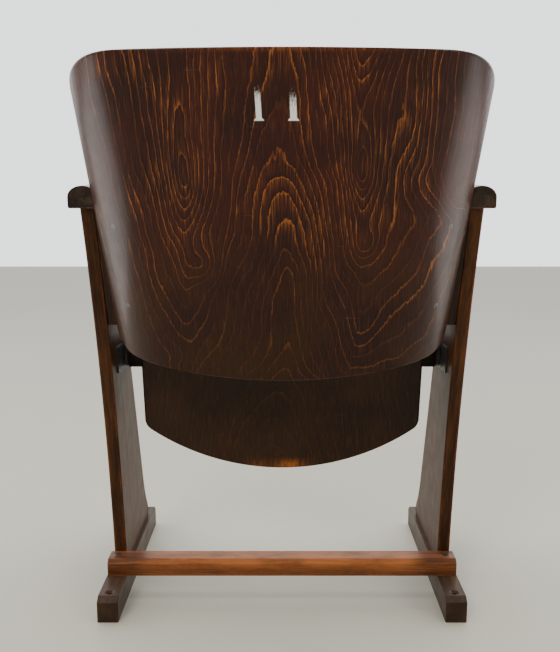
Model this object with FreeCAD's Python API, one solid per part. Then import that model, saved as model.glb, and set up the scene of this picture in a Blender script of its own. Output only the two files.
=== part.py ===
import FreeCAD, Part
import math
import os

# Tip up auditorium seat in moulded plywood and beech, for one place.
# Frame: X across the seat, the sitter's left is +X. Y points to the back of the seat. Z is up.
# The pieces are drawn with the origin on the floor, in the middle of the four floor bolt holes.
# They are then moved so that the origin is the middle of the underside of the whole seat's box.
# Lengths are in mm and angles in degrees.

V = FreeCAD.Vector
SIDES = {"left": 1, "right": -1}

# An edge is rounded where its two faces turn by more than this
sharp_angle = 50.0

# Foot runners
runner_length = 377.0
runner_width = 33.0
runner_height = 40.0
runner_bevel_length = 10.0
runner_bevel_drop = 7.0
runner_arris = 1.5
floor_hole_inset = 20.0
floor_hole_radius = 4.0
floor_countersink_radius = 7.5

# Side panels, seen from the side as an hourglass that leans back
panel_spacing = 520.0
panel_thickness = 20.0
panel_arris = 1.5
panel_toe_y = -140.0
panel_toe_lip = 22.0
panel_knee_height = 124.0
panel_waist_y = -15.0
panel_waist_height = 360.0
panel_front_lean = 20.2
panel_front_top_y = -32.0
panel_foot_rear_y = 78.0
panel_rear_top_y = 218.0
panel_rear_sag = 18.0
panel_overrun = 12.0

# Armrests
arm_length = 300.0
arm_width = 41.0
arm_side_height = 15.0
arm_crown_height = 16.0
arm_outboard_offset = 4.5
arm_rear_y = 223.5
arm_rear_underside = 636.0
arm_rise = 2.5
arm_end_arris = 2.0
arm_nose_radius = 14.0

# Rear stretcher, on top of the runners and against the panels
stretcher_depth = 36.0
stretcher_height = 27.0
stretcher_bevel = 6.5
stretcher_end_setback = 1.5

# Backrest shell of moulded plywood, straight along its leaning line and curled at its sides
shell_wall = 9.0
shell_lean = 21.0
shell_top = 823.0
shell_bottom = 390.0
shell_anchor_height = 546.0
shell_anchor_y = 273.17
shell_anchor_half_width = 251.2
shell_side_lean = 4.292
shell_middle_radius = 1100.0
shell_side_radius = 125.0
shell_side_turn = 62.0
shell_bottom_edge_radius = 805.0
shell_top_corner_width = 72.0
shell_top_corner_drop = 36.0
shell_bottom_corner_width = 28.0
shell_bottom_corner_rise = 32.0
shell_arris = 2.0
shell_side_margin = 0.5
shell_overrun = 12.0

# Blocks that join the backrest to the panels
block_foot = 462.0
block_head = 630.0
block_front_reach = 30.0
block_panel_reach = 12.0
block_shell_reach = 36.0
block_inboard_reach = 24.0
block_edge_setback = 3.0

# Seat pan and its rail, in the seat's own frame with the pivot as its origin
pivot_y = 41.5
pivot_height = 398.0
rest_lean = 6.0
down_tilt = 10.5
pan_wall = 11.0
pan_rear_reach = 200.0
pan_front_reach = 195.0
pan_half_width_rear = 227.5
pan_half_width_pivot = 230.0
pan_half_width_front = 250.0
pan_flare_start = -20.0
pan_flare_end = -95.0
pan_rear_edge_radius = 376.0
pan_rear_corner = 9.0
pan_front_corner = 45.0
pan_roll_start = -120.0
pan_roll_radius = 130.0
pan_roll_turn = 22.0
pan_lip_overrun = 40.0
pan_front_bow = 8.0
pan_front_bow_end = 6.4
pan_side_margin = 5.0
pan_arris = 2.0
rail_width = 46.0
rail_depth = 34.0
rail_arris = 2.0
pivot_below_pan = 7.0

# Pivot: a journal on each end of the rail turns in a bush in each panel
journal_radius = 6.0
journal_plate_wall = 4.0
journal_plate_radius = 22.0
journal_reach = 15.0
journal_clearance = 0.05
bush_wall = 3.0
bush_depth = 15.5
bore_end_clearance = 0.5
pivot_plate_wall = 2.5
pivot_plate_radius = 32.0
pivot_plate_tail = 60.0
pivot_plate_drop = 23.0
pivot_plate_tail_rise = 20.0
pivot_plate_corner = 6.0
washer_wall = 1.2
washer_radius = 11.0
washer_clearance = 0.1
running_gap = 0.3

# Stops: a tooth on each journal plate between two padded lugs on each pivot plate
tooth_reach = 30.5
tooth_half_angle = 13.0
tooth_root = 3.0
lug_inner_radius = 23.5
lug_outer_radius = 31.0
lug_angle = 11.0
pad_angle = 4.5
stop_gap_angle = 0.65

# Dowels
dowel_radius = 5.0
arm_dowel_length = 38.0
arm_dowel_inset = 42.0
foot_dowel_length = 44.0
foot_dowel_ys = (-70.0, 22.0)

# Screws and bolts
screw_slot_width = 0.9
screw_slot_depth = 0.8
screw_slot_turn = 35.0
screw_slot_overrun = 1.1
foot_screw_ys = (-112.0, -24.0, 58.0)
foot_screw_head_radius = 5.0
foot_screw_shank_radius = 2.5
foot_screw_length = 62.0
foot_screw_sink = 12.0
foot_screw_hole_radius = 6.0
stretcher_screw_head_radius = 6.5
stretcher_screw_shank_radius = 3.0
stretcher_screw_length = 52.0
block_screw_head_radius = 5.0
block_screw_shank_radius = 2.5
block_screw_length = 46.0
block_screw_end_inset = 36.0
shell_screw_head_radius = 4.0
shell_screw_shank_radius = 2.0
shell_screw_length = 26.0
shell_screw_angle = 40.0
shell_screw_foot_inset = 38.0
shell_screw_head_inset = 18.0
plate_screw_head_radius = 4.0
plate_screw_shank_radius = 2.0
plate_screw_length = 16.0
plate_screw_inset = 12.0
plate_screw_top_lift = 2.0
plate_screw_front_inset = 5.5
plate_screw_front_angle = 125.0
journal_screw_head_radius = 3.4
journal_screw_shank_radius = 1.8
journal_screw_length = 30.0
journal_screw_spread = 13.0
journal_screw_drop = 10.0
seat_bolt_xs = (-190.0, -70.0, 70.0, 190.0)
seat_bolt_radius = 3.0
seat_bolt_head_radius = 8.0
seat_bolt_head_height = 3.5
seat_bolt_washer_radius = 8.0
seat_bolt_washer_wall = 1.5
seat_bolt_nut_flats = 10.0
seat_bolt_nut_height = 5.0
seat_bolt_tail = 2.5

# Places that follow from the sizes above
panel_inner_x = panel_spacing / 2
panel_outer_x = panel_inner_x + panel_thickness
panel_centre_x = panel_inner_x + panel_thickness / 2
shell_slope = math.tan(math.radians(shell_lean))
shell_taper = math.tan(math.radians(shell_side_lean))
shell_section_wall = shell_wall / math.cos(math.radians(shell_lean))
travel = 90.0 + rest_lean - down_tilt
plate_face_x = panel_inner_x - pivot_plate_wall
washer_face_x = plate_face_x - running_gap
journal_face_x = washer_face_x - washer_wall
rail_half_length = journal_face_x - journal_plate_wall
pan_underside = pivot_below_pan
pan_top = pan_underside + pan_wall
rail_foot = pan_underside - rail_depth


def box(x0, x1, y0, y1, z0, z1):
    """A box between two corners."""
    return Part.makeBox(x1 - x0, y1 - y0, z1 - z0, V(x0, y0, z0))


def line(a, b):
    return Part.LineSegment(a, b).toShape()


def arc(a, middle, b):
    return Part.Arc(a, middle, b).toShape()


def corner_curve(a, corner, b):
    """A smooth corner that leaves a and meets b on the two lines through the corner point."""
    curve = Part.BezierCurve()
    curve.setPoles([a, corner, b])
    return curve.toShape()


def tangent_arc(start, tangent, end):
    """The arc that leaves start along the tangent and ends at end."""
    chord = end.sub(start)
    half = chord.Length / 2
    along = V(chord).normalize()
    side = V(tangent).normalize()
    side = side.sub(V(along).multiply(side.dot(along)))
    turn = math.asin(min(1.0, side.Length))
    middle = start.add(V(chord).multiply(0.5))
    middle = middle.add(V(side).normalize().multiply(half * math.tan(turn / 2)))
    return arc(start, middle, end)


def face_of(edges):
    return Part.Face(Part.Wire(Part.__sortEdges__(edges)))


def prism(edges, direction):
    return face_of(edges).extrude(direction)


def mirrored(shape, side):
    """The left-hand shape, or its mirror image for the right-hand side."""
    if side > 0:
        return shape
    return shape.mirror(V(0, 0, 0), V(1, 0, 0))


def cut_by(shape, tools):
    for tool in tools:
        shape = shape.cut(tool)
    return shape


def rounded(shape, radius, wanted):
    """The shape with a small radius on each edge for which wanted(edge) is true."""
    edges = [edge for edge in shape.Edges if wanted(edge)]
    return shape.makeFillet(radius, edges)


def crossing_angle(shape, edge):
    """The angle in degrees between the two faces that meet at an edge, or zero for a single face."""
    faces = shape.ancestorsOfType(edge, Part.Face)
    if len(faces) != 2:
        return 0.0
    middle = edge.valueAt((edge.FirstParameter + edge.LastParameter) / 2)
    normals = []
    for face in faces:
        u, v = face.Surface.parameter(middle)
        normals.append(face.normalAt(u, v))
    return math.degrees(normals[0].getAngle(normals[1]))


def at_x(edge, x):
    """Whether the whole edge lies in the plane at x."""
    bound = edge.BoundBox
    return abs(bound.XMin - x) < 0.01 and abs(bound.XMax - x) < 0.01


def cylinder_x(radius, x0, x1, y, z):
    return Part.makeCylinder(radius, x1 - x0, V(x0, y, z), V(1, 0, 0))


def screw_blank(place, direction, head_radius, shank_radius, length):
    """A countersunk wood screw without its slot, from the middle of its head's flat face."""
    way = V(direction).normalize()
    head_depth = head_radius - shank_radius
    head = Part.makeCone(head_radius, shank_radius, head_depth, place, way)
    shank = Part.makeCylinder(shank_radius, length - head_depth, place.add(V(way).multiply(head_depth)), way)
    return head.fuse(shank).removeSplitter()


def slotted(blank, place, direction, head_radius):
    """The screw with a straight driver slot across its head."""
    way = V(direction).normalize()
    slot = Part.makeBox(
        2 * screw_slot_overrun * head_radius,
        screw_slot_width,
        2 * screw_slot_depth,
        V(-screw_slot_overrun * head_radius, -screw_slot_width / 2, -screw_slot_depth),
    )
    slot.rotate(V(0, 0, 0), V(0, 0, 1), screw_slot_turn)
    slot.Placement = FreeCAD.Placement(place, FreeCAD.Rotation(V(0, 0, 1), way)).multiply(slot.Placement)
    return blank.cut(slot)


class Screws:
    """A set of equal screws: their blanks cut the holes and their slotted forms are the node."""

    def __init__(self, head_radius, shank_radius, length):
        self.head_radius = head_radius
        self.shank_radius = shank_radius
        self.length = length
        self.blanks = []
        self.solids = []

    def add(self, place, direction):
        blank = screw_blank(place, direction, self.head_radius, self.shank_radius, self.length)
        self.blanks.append(blank)
        self.solids.append(slotted(blank, place, direction, self.head_radius))


def arm_underside(y):
    """Height of the armrest's underside above the floor at a place along its length."""
    return arm_rear_underside + (arm_rear_y - y) * math.tan(math.radians(arm_rise))


def make_runner(side, tools):
    """One foot runner with bevelled ends and a countersunk floor hole near each end."""
    x0 = panel_centre_x - runner_width / 2
    half = runner_length / 2
    shoulder = runner_height - runner_bevel_drop
    outline = [
        V(x0, -half, 0),
        V(x0, half, 0),
        V(x0, half, shoulder),
        V(x0, half - runner_bevel_length, runner_height),
        V(x0, -half + runner_bevel_length, runner_height),
        V(x0, -half, shoulder),
    ]
    edges = [line(a, b) for a, b in zip(outline, outline[1:] + outline[:1])]
    body = prism(edges, V(runner_width, 0, 0))
    body = rounded(body, runner_arris, lambda edge: edge.CenterOfMass.z > 1.0)
    sink = floor_countersink_radius - floor_hole_radius
    for end in (-1, 1):
        y = end * (half - floor_hole_inset)
        body = body.cut(Part.makeCylinder(floor_hole_radius, runner_height, V(panel_centre_x, y, 0)))
        countersink = Part.makeCone(
            floor_hole_radius, floor_countersink_radius, sink, V(panel_centre_x, y, runner_height - sink)
        )
        body = body.cut(countersink)
    for y in foot_screw_ys:
        body = body.cut(Part.makeCylinder(foot_screw_hole_radius, foot_screw_sink, V(panel_centre_x, y, 0)))
    return cut_by(mirrored(body, side), tools)


def panel_outline(x):
    """The edges of a side panel's outline in the plane at x, run on a little above its top."""
    lean = math.radians(panel_front_lean)
    knee_y = panel_waist_y - (panel_waist_height - panel_knee_height) * math.tan(lean)
    foot_rear = V(x, panel_foot_rear_y, runner_height)
    heel = V(x, panel_foot_rear_y, runner_height + stretcher_height)
    foot_front = V(x, panel_toe_y, runner_height)
    toe = V(x, panel_toe_y, runner_height + panel_toe_lip)
    knee = V(x, knee_y, panel_knee_height)
    waist = V(x, panel_waist_y, panel_waist_height)
    top_front = V(x, panel_front_top_y, arm_underside(panel_front_top_y))
    top_rear = V(x, panel_rear_top_y, arm_underside(panel_rear_top_y))
    up = V(0, math.sin(lean), math.cos(lean))
    chord = top_rear.sub(heel)
    forward = V(0, -chord.z, chord.y).normalize()
    rear_middle = heel.add(V(chord).multiply(0.5)).add(forward.multiply(panel_rear_sag))
    front = tangent_arc(waist, up, top_front)
    rear = arc(heel, rear_middle, top_rear)
    over_front = top_front.add(front.tangentAt(front.LastParameter).multiply(panel_overrun))
    over_rear = top_rear.add(rear.tangentAt(rear.LastParameter).multiply(panel_overrun))
    return [
        line(foot_rear, foot_front),
        line(foot_front, toe),
        tangent_arc(knee, V(up).multiply(-1), toe),
        line(knee, waist),
        front,
        line(top_front, over_front),
        line(over_front, over_rear),
        line(over_rear, top_rear),
        rear,
        line(heel, foot_rear),
    ]


def armrest_level():
    """Everything above the level of the armrests' underside, as a solid to cut with."""
    reach = panel_outer_x + arm_width
    far = arm_rear_y + arm_length
    outline = [
        V(-reach, far, arm_underside(far)),
        V(-reach, -far, arm_underside(-far)),
        V(-reach, -far, arm_underside(-far) + arm_length),
        V(-reach, far, arm_underside(far) + arm_length),
    ]
    edges = [line(a, b) for a, b in zip(outline, outline[1:] + outline[:1])]
    return prism(edges, V(2 * reach, 0, 0))


def make_panel(side, tools):
    """One side panel: a board with softened arrises, bored for the pivot bush."""
    body = prism(panel_outline(panel_inner_x), V(panel_thickness, 0, 0))

    def soft(edge):
        on_face = at_x(edge, panel_inner_x) or at_x(edge, panel_outer_x)
        top = edge.BoundBox.YLength > panel_rear_top_y - panel_front_top_y
        foot = edge.BoundBox.ZMax < runner_height + 1.0
        return on_face and not top and not foot

    body = body.makeChamfer(panel_arris, [edge for edge in body.Edges if soft(edge)])
    body = body.cut(armrest_level())
    bore_end = panel_inner_x + bush_depth + bore_end_clearance
    bore = cylinder_x(
        journal_radius + journal_clearance + bush_wall, panel_inner_x, bore_end, pivot_y, pivot_height
    )
    return cut_by(mirrored(body.cut(bore), side), tools)


def make_armrest(side, tools):
    """One armrest: flat below and crowned above, with a round nose at the front."""
    half = arm_width / 2
    side_top = arm_side_height
    section = [
        line(V(-half, 0, side_top), V(-half, 0, 0)),
        line(V(-half, 0, 0), V(half, 0, 0)),
        line(V(half, 0, 0), V(half, 0, side_top)),
    ]
    crown = Part.Ellipse(V(half, 0, side_top), V(0, 0, side_top + arm_crown_height), V(0, 0, side_top))
    section.append(Part.ArcOfEllipse(crown, 0, math.pi).toShape())
    body = prism(section, V(0, -arm_length, 0))
    nose = [
        line(V(-half, 0, 0), V(half, 0, 0)),
        line(V(half, 0, 0), V(half, arm_nose_radius - arm_length, 0)),
        corner_curve(
            V(half, arm_nose_radius - arm_length, 0), V(half, -arm_length, 0), V(0, -arm_length, 0)
        ),
        corner_curve(
            V(0, -arm_length, 0), V(-half, -arm_length, 0), V(-half, arm_nose_radius - arm_length, 0)
        ),
        line(V(-half, arm_nose_radius - arm_length, 0), V(-half, 0, 0)),
    ]
    plan = prism(nose, V(0, 0, arm_side_height + arm_crown_height))
    body = body.common(plan)
    body = rounded(body, arm_end_arris, lambda edge: edge.BoundBox.YMin > -0.01)
    body.rotate(V(0, 0, 0), V(1, 0, 0), -arm_rise)
    body.translate(V(panel_centre_x + arm_outboard_offset, arm_rear_y, arm_rear_underside))
    return cut_by(mirrored(body, side), tools)


def make_stretcher(tools):
    """The bar across the back of the runners, with a bevel where feet rub it."""
    half = panel_centre_x + runner_width / 2 - stretcher_end_setback
    y0 = panel_foot_rear_y
    y1 = y0 + stretcher_depth
    z0 = runner_height
    z1 = z0 + stretcher_height
    outline = [
        V(-half, y0, z0),
        V(-half, y1, z0),
        V(-half, y1, z1 - stretcher_bevel),
        V(-half, y1 - stretcher_bevel, z1),
        V(-half, y0, z1),
    ]
    edges = [line(a, b) for a, b in zip(outline, outline[1:] + outline[:1])]
    body = prism(edges, V(2 * half, 0, 0))
    body = rounded(body, runner_arris, lambda edge: edge.CenterOfMass.z > z0 + 1.0)
    return cut_by(body, tools)


def shell_centre_y(z):
    """Where the back face of the backrest stands in the middle, at a height."""
    return shell_anchor_y + (z - shell_anchor_height) * shell_slope


def shell_half_width(z):
    """Half the backrest's width across its back face, at a height."""
    return shell_anchor_half_width + (z - shell_anchor_height) * shell_taper


def shell_section(z):
    """The two arc centres and the joint angle of the backrest's plan curve at a height."""
    turn = math.radians(shell_side_turn)
    middle = shell_half_width(z) - shell_side_radius * math.sin(turn)
    middle = middle / (1 - shell_side_radius / shell_middle_radius)
    joint = math.asin(middle / shell_middle_radius)
    middle_centre = V(0, shell_centre_y(z) - shell_middle_radius, z)
    reach = shell_middle_radius - shell_side_radius
    side_centre = middle_centre.add(V(reach * math.sin(joint), reach * math.cos(joint), 0))
    return middle_centre, side_centre, joint


def shell_point(z, angle, inset, side=1):
    """A point of the curled side at a height: inset is its depth below the back face."""
    centre = shell_section(z)[1]
    radius = shell_side_radius - inset
    return V(side * (centre.x + radius * math.sin(angle)), centre.y + radius * math.cos(angle), z)


def shell_wire(z):
    """The closed outline of the backrest's plan section at a height."""
    middle_centre, side_centre, joint = shell_section(z)
    turn = math.radians(shell_side_turn)
    edges = []
    for inset in (0.0, shell_section_wall):
        starts = []
        for side in SIDES.values():
            start, bend, end = [shell_point(z, a, inset, side) for a in (joint, (joint + turn) / 2, turn)]
            edges.append(arc(start, bend, end))
            starts.append(start)
        crown = V(0, middle_centre.y + shell_middle_radius - inset, z)
        edges.append(arc(starts[0], crown, starts[1]))
    for side in SIDES.values():
        edges.append(line(shell_point(z, turn, 0, side), shell_point(z, turn, shell_section_wall, side)))
    return Part.Wire(Part.__sortEdges__(edges))


def shell_elevation():
    """The backrest's outline from behind, as a prism along Y."""
    def side_x(z):
        return shell_half_width(z) + shell_side_margin

    def rise(x):
        return shell_bottom + shell_bottom_edge_radius - math.sqrt(shell_bottom_edge_radius**2 - x**2)

    corner_x = side_x(shell_bottom)
    foot_x = corner_x - shell_bottom_corner_width
    corner_z = rise(corner_x)
    side_foot = corner_z + shell_bottom_corner_rise
    side_head = shell_top - shell_top_corner_drop
    head_x = side_x(shell_top) - shell_top_corner_width
    edges = [
        arc(V(-foot_x, 0, rise(foot_x)), V(0, 0, shell_bottom), V(foot_x, 0, rise(foot_x))),
        line(V(-head_x, 0, shell_top), V(head_x, 0, shell_top)),
    ]
    for sign in (-1, 1):
        foot = V(sign * foot_x, 0, rise(foot_x))
        low = V(sign * side_x(side_foot), 0, side_foot)
        high = V(sign * side_x(side_head), 0, side_head)
        head = V(sign * head_x, 0, shell_top)
        edges.append(corner_curve(foot, V(sign * side_x(corner_z), 0, corner_z), low))
        edges.append(line(low, high))
        edges.append(corner_curve(high, V(sign * side_x(shell_top), 0, shell_top), head))
    return prism(edges, V(0, 2 * shell_centre_y(shell_top), 0))


def make_shell_blank():
    """The backrest before its screw holes are cut."""
    wires = [shell_wire(shell_bottom - shell_overrun), shell_wire(shell_top + shell_overrun)]
    sheet = Part.makeLoft(wires, True, True)
    shell = sheet.common(shell_elevation())
    return rounded(shell, shell_arris, lambda edge: crossing_angle(shell, edge) > sharp_angle)


def make_block(side, shell, tools):
    """The block that fills the corner between the backrest's curl and a side panel."""
    turn = math.radians(shell_side_turn)
    edge = shell_point(block_foot, turn, 0)
    inboard = edge.x - block_inboard_reach
    front = edge.y - block_front_reach
    against = edge.y - block_panel_reach
    far = panel_outer_x
    outline = [
        V(inboard, front, block_foot),
        V(far, front, block_foot),
        V(far, against, block_foot),
        V(edge.x - block_edge_setback, against, block_foot),
        V(edge.x - block_inboard_reach / 2, edge.y + block_shell_reach, block_foot),
        V(inboard, edge.y + block_shell_reach, block_foot),
    ]
    edges = [line(a, b) for a, b in zip(outline, outline[1:] + outline[:1])]
    height = block_head - block_foot
    top_edge = shell_point(block_head, turn, 0)
    body = prism(edges, top_edge.sub(edge))
    limit = box(0, panel_inner_x, front - 1, top_edge.y + block_shell_reach, block_foot, block_foot + height)
    body = body.common(limit).cut(shell)
    body = max(body.Solids, key=lambda solid: solid.Volume)
    return cut_by(mirrored(body, side), tools)


def place_foot_screws(side):
    screws = Screws(foot_screw_head_radius, foot_screw_shank_radius, foot_screw_length)
    for y in foot_screw_ys:
        screws.add(V(side * panel_centre_x, y, foot_screw_sink), V(0, 0, 1))
    return screws


def place_dowels(side):
    """The dowels that pin one panel to its runner and its armrest to the panel."""
    x = side * panel_centre_x
    foot = [
        Part.makeCylinder(dowel_radius, foot_dowel_length, V(x, y, runner_height - foot_dowel_length / 2))
        for y in foot_dowel_ys
    ]
    arm = []
    for y in (panel_rear_top_y - arm_dowel_inset, panel_front_top_y + arm_dowel_inset):
        foot_z = arm_underside(y) - arm_dowel_length / 2
        arm.append(Part.makeCylinder(dowel_radius, arm_dowel_length, V(x, y, foot_z)))
    return foot, arm


def place_stretcher_screws():
    screws = Screws(stretcher_screw_head_radius, stretcher_screw_shank_radius, stretcher_screw_length)
    y = panel_foot_rear_y + (stretcher_depth - stretcher_bevel) / 2
    for side in SIDES.values():
        screws.add(V(side * panel_centre_x, y, runner_height + stretcher_height), V(0, 0, -1))
    return screws


def place_block_screws(side):
    """Screws through a panel from outside into its block."""
    screws = Screws(block_screw_head_radius, block_screw_shank_radius, block_screw_length)
    turn = math.radians(shell_side_turn)
    back = (block_front_reach + block_panel_reach) / 2
    for z in (block_foot + block_screw_end_inset, block_head - block_screw_end_inset):
        y = shell_point(z, turn, 0).y - back
        screws.add(V(side * panel_outer_x, y, z), V(-side, 0, 0))
    return screws


def place_shell_screws(side):
    """Screws through the curled side of the backrest, square to its face, into its block."""
    screws = Screws(shell_screw_head_radius, shell_screw_shank_radius, shell_screw_length)
    angle = math.radians(shell_screw_angle)
    drop = shell_slope * math.cos(angle) + shell_taper * math.sin(angle)
    inward = V(-side * math.sin(angle), -math.cos(angle), drop)
    for z in (block_foot + shell_screw_foot_inset, block_head - shell_screw_head_inset):
        screws.add(shell_point(z, angle, 0, side), inward)
    return screws


def sector(inner, outer, start, end, x0, x1):
    """Part of a ring about the pivot: angles in degrees from the back, turning up."""
    def at(radius, angle):
        a = math.radians(angle)
        return V(x0, radius * math.cos(a), radius * math.sin(a))

    middle = (start + end) / 2
    edges = [
        arc(at(inner, start), at(inner, middle), at(inner, end)),
        arc(at(outer, start), at(outer, middle), at(outer, end)),
        line(at(inner, start), at(outer, start)),
        line(at(inner, end), at(outer, end)),
    ]
    return prism(edges, V(x1 - x0, 0, 0))


def stop_angles():
    """Where the padded faces of the two stops are, before their running gap."""
    tooth_at_rest = 90.0 - rest_lean
    tooth_when_down = tooth_at_rest + travel
    return tooth_at_rest - tooth_half_angle, tooth_when_down + tooth_half_angle


def make_pivot_plate(side, tools):
    """The plate that holds the bush against a panel and carries the two stop lugs."""
    x0 = plate_face_x
    x1 = panel_inner_x
    body = cylinder_x(pivot_plate_radius, x0, x1, 0, 0)
    tail = box(x0, x1, 0, pivot_plate_tail, -pivot_plate_drop, pivot_plate_tail_rise)

    def at_tail(edge):
        return abs(edge.BoundBox.YMin - pivot_plate_tail) < 0.01 and edge.BoundBox.XLength > 1.0

    tail = rounded(tail, pivot_plate_corner, at_tail)
    body = body.fuse(tail)
    size = pivot_plate_radius + pivot_plate_tail
    body = body.cut(box(x0 - 1, x1 + 1, -size, size, -size, -pivot_plate_drop))
    bush_radius = journal_radius + journal_clearance + bush_wall
    body = body.cut(cylinder_x(bush_radius, x0 - 1, x1 + 1, 0, 0))
    rest_face, down_face = stop_angles()
    offset = stop_gap_angle + pad_angle
    lug_x = rail_half_length + running_gap
    for start in (rest_face - offset - lug_angle, down_face + offset):
        lug = sector(lug_inner_radius, lug_outer_radius, start, start + lug_angle, lug_x, x1)
        body = body.fuse(lug)
    body = body.removeSplitter()
    body.translate(V(0, pivot_y, pivot_height))
    return cut_by(mirrored(body, side), tools)


def make_stop_pads(side):
    """Rubber pads on the faces of one plate's lugs."""
    rest_face, down_face = stop_angles()
    starts = (rest_face - stop_gap_angle - pad_angle, down_face + stop_gap_angle)
    pad_x = rail_half_length + running_gap
    pads = []
    for start in starts:
        pad = sector(lug_inner_radius, lug_outer_radius, start, start + pad_angle, pad_x, plate_face_x)
        pad.translate(V(0, pivot_y, pivot_height))
        pads.append(mirrored(pad, side))
    return pads


def make_bush(side):
    outer = journal_radius + journal_clearance + bush_wall
    inner = journal_radius + journal_clearance
    end = panel_inner_x + bush_depth
    body = cylinder_x(outer, plate_face_x, end, pivot_y, pivot_height)
    body = body.cut(cylinder_x(inner, plate_face_x - 1, end + 1, pivot_y, pivot_height))
    return mirrored(body, side)


def place_plate_screws(side):
    """Three screws through a pivot plate into its panel."""
    screws = Screws(plate_screw_head_radius, plate_screw_shank_radius, plate_screw_length)
    tail_y = pivot_plate_tail - plate_screw_inset
    front = pivot_plate_radius - plate_screw_front_inset
    front_angle = math.radians(plate_screw_front_angle)
    places = (
        (tail_y, pivot_plate_tail_rise - plate_screw_inset + plate_screw_top_lift),
        (tail_y, plate_screw_inset - pivot_plate_drop),
        (front * math.cos(front_angle), front * math.sin(front_angle)),
    )
    for y, z in places:
        screws.add(V(side * plate_face_x, pivot_y + y, pivot_height + z), V(side, 0, 0))
    return screws


def to_rest(shape):
    """Carry a shape from the seat's own frame to the tipped up pose."""
    turned = shape.copy()
    turned.rotate(V(0, 0, 0), V(1, 0, 0), -(90.0 + rest_lean))
    turned.translate(V(0, pivot_y, pivot_height))
    return turned


def pan_profile():
    """The seat pan's side profile as a sheet across the seat: flat, then rolled down at the front."""
    half = pan_half_width_front + pan_side_margin
    turn = math.radians(pan_roll_turn)

    def rolled(depth, angle):
        radius = pan_roll_radius - depth
        centre_z = pan_top - pan_roll_radius
        return V(-half, pan_roll_start - radius * math.sin(angle), centre_z + radius * math.cos(angle))

    edges = []
    ends = []
    forward = V(0, -math.cos(turn), -math.sin(turn)).multiply(pan_lip_overrun)
    for depth in (0.0, pan_wall):
        rear = V(-half, pan_rear_reach + pan_side_margin, pan_top - depth)
        start = rolled(depth, 0)
        end = rolled(depth, turn)
        edges.append(line(rear, start))
        edges.append(arc(start, rolled(depth, turn / 2), end))
        edges.append(line(end, end.add(forward)))
        ends.append((rear, end.add(forward)))
    edges.append(line(ends[0][0], ends[1][0]))
    edges.append(line(ends[0][1], ends[1][1]))
    return prism(edges, V(2 * half, 0, 0))


def pan_plan():
    """The seat pan's outline from above, as a prism along Z."""
    z = pan_top - pan_roll_radius
    radius = pan_rear_edge_radius
    rear_y = pan_rear_reach - radius + math.sqrt(radius**2 - pan_half_width_rear**2)
    front_y = -pan_front_reach
    middle_y = (pan_flare_start + pan_flare_end) / 2
    edges = []
    corner_front = front_y + pan_front_bow + pan_front_corner
    rear_in = pan_half_width_rear - pan_rear_corner
    rear_in_y = pan_rear_reach - radius + math.sqrt(radius**2 - rear_in**2)
    for sign in (-1, 1):
        rear_side = V(sign * pan_half_width_rear, rear_y - pan_rear_corner, z)
        at_pivot = V(sign * pan_half_width_pivot, pan_flare_start, z)
        at_front = V(sign * pan_half_width_front, pan_flare_end, z)
        middle = V(sign * (pan_half_width_pivot + pan_half_width_front) / 2, middle_y, z)
        front_side = V(sign * pan_half_width_front, corner_front, z)
        front_in = V(sign * (pan_half_width_front - pan_front_corner), front_y + pan_front_bow_end, z)
        edges.append(
            corner_curve(
                V(sign * rear_in, rear_in_y, z), V(sign * pan_half_width_rear, rear_y, z), rear_side
            )
        )
        edges.append(line(rear_side, at_pivot))
        edges.append(corner_curve(at_pivot, V(at_pivot.x, (at_pivot.y + middle.y) / 2, z), middle))
        edges.append(corner_curve(middle, V(at_front.x, (at_front.y + middle.y) / 2, z), at_front))
        edges.append(line(at_front, front_side))
        edges.append(corner_curve(front_side, V(front_side.x, front_in.y, z), front_in))
    edges.append(arc(V(-rear_in, rear_in_y, z), V(0, pan_rear_reach, z), V(rear_in, rear_in_y, z)))
    inner = pan_half_width_front - pan_front_corner
    bow_y = front_y + pan_front_bow_end
    edges.append(arc(V(-inner, bow_y, z), V(0, front_y, z), V(inner, bow_y, z)))
    return prism(edges, V(0, 0, pan_roll_radius + pan_side_margin))


def make_pan_blank():
    """The seat pan before its bolt holes are cut."""
    pan = pan_profile().common(pan_plan())

    def long_and_sharp(edge):
        return crossing_angle(pan, edge) > sharp_angle and edge.Length > 1.5 * pan_wall

    return rounded(pan, pan_arris, long_and_sharp)


def make_rail_blank():
    body = box(
        -rail_half_length, rail_half_length, -rail_width / 2, rail_width / 2, rail_foot, pan_underside
    )
    return rounded(body, rail_arris, lambda edge: edge.BoundBox.XLength > 1.0 and edge.CenterOfMass.z < 0)


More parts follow.
